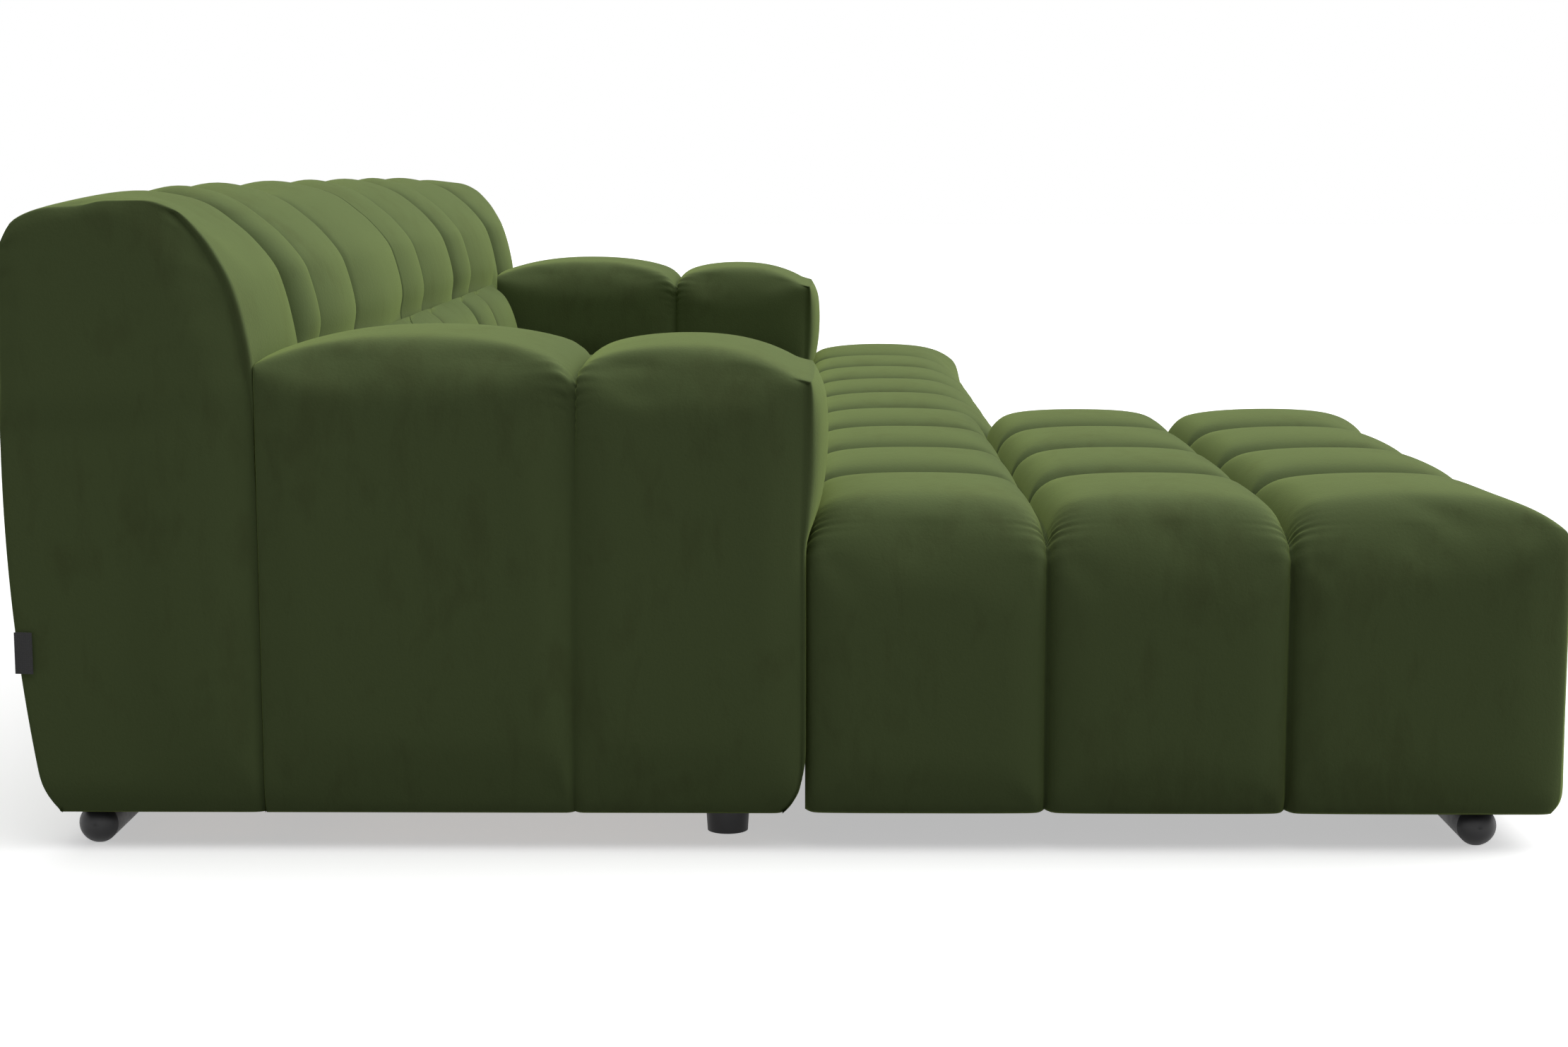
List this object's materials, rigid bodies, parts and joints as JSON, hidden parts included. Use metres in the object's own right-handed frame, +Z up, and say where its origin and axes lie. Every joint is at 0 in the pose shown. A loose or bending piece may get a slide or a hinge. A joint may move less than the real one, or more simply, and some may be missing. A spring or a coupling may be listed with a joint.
{
  "type": "lounge sofa",
  "caption": "Two-module sectional sofa with a lounge seat: tufted velvet seat, channelled back, pillow arms and round bar feet over a timber frame.",
  "frame": {"origin": "centre of the sofa's box on the floor", "axes": "+X along the sofa from the lounge end to the sofa end, +Y from front to back, +Z up"},
  "size_m": [2.6232, 1.778, 0.7523],
  "materials": {
    "velvet": "cotton velvet, cut pile",
    "foam": "upholstery foam",
    "webbing": "woven elastic webbing",
    "dust_cloth": "non-woven cloth",
    "black_foot": "satin black",
    "plywood": "raw plywood",
    "timber": "planed pine",
    "beech": "turned beech",
    "zinc_steel": "zinc plated"
  },
  "bodies": {
    "root": {"connector_plates": "zinc_steel", "connector_screws": "zinc_steel", "connector_studs": "zinc_steel", "foot_dowels": "beech", "frame_bolts": "zinc_steel", "frame_tee_nuts": "zinc_steel", "lounge_arm_bottom_board": "plywood", "lounge_arm_inner_rail": "timber", "lounge_arm_ribs": "plywood", "lounge_arm_top_board": "plywood", "lounge_arm_upholstery": "velvet", "lounge_back_bottom_board": "plywood", "lounge_back_lower_rail": "timber", "lounge_back_ribs": "plywood", "lounge_back_top_rail": "timber", "lounge_back_upholstery": "velvet", "lounge_back_webbing": "webbing", "lounge_bar_feet": "black_foot", "lounge_cross_rails": "timber", "lounge_dust_cover": "dust_cloth", "lounge_foot_blocks": "timber", "lounge_front_rail": "timber", "lounge_inner_rail": "timber", "lounge_lumbar_roll": "velvet", "lounge_middle_rail": "timber", "lounge_notch_rail": "timber", "lounge_outer_rail": "timber", "lounge_rear_rail": "timber", "lounge_seat_foam": "foam", "lounge_seat_upholstery": "velvet", "lounge_seat_webbing": "webbing", "lounge_support_foot": "black_foot", "sofa_arm_bottom_board": "plywood", "sofa_arm_inner_rail": "timber", "sofa_arm_ribs": "plywood", "sofa_arm_top_board": "plywood", "sofa_arm_upholstery": "velvet", "sofa_back_bottom_board": "plywood", "sofa_back_lower_rail": "timber", "sofa_back_ribs": "plywood", "sofa_back_top_rail": "timber", "sofa_back_upholstery": "velvet", "sofa_back_webbing": "webbing", "sofa_bar_feet": "black_foot", "sofa_cross_rails": "timber", "sofa_dust_cover": "dust_cloth", "sofa_foot_blocks": "timber", "sofa_front_rail": "timber", "sofa_inner_rail": "timber", "sofa_lumbar_roll": "velvet", "sofa_middle_rail": "timber", "sofa_notch_rail": "timber", "sofa_outer_rail": "timber", "sofa_rear_rail": "timber", "sofa_seat_foam": "foam", "sofa_seat_upholstery": "velvet", "sofa_seat_webbing": "webbing", "sofa_support_foot": "black_foot"}
  },
  "joints": []
}
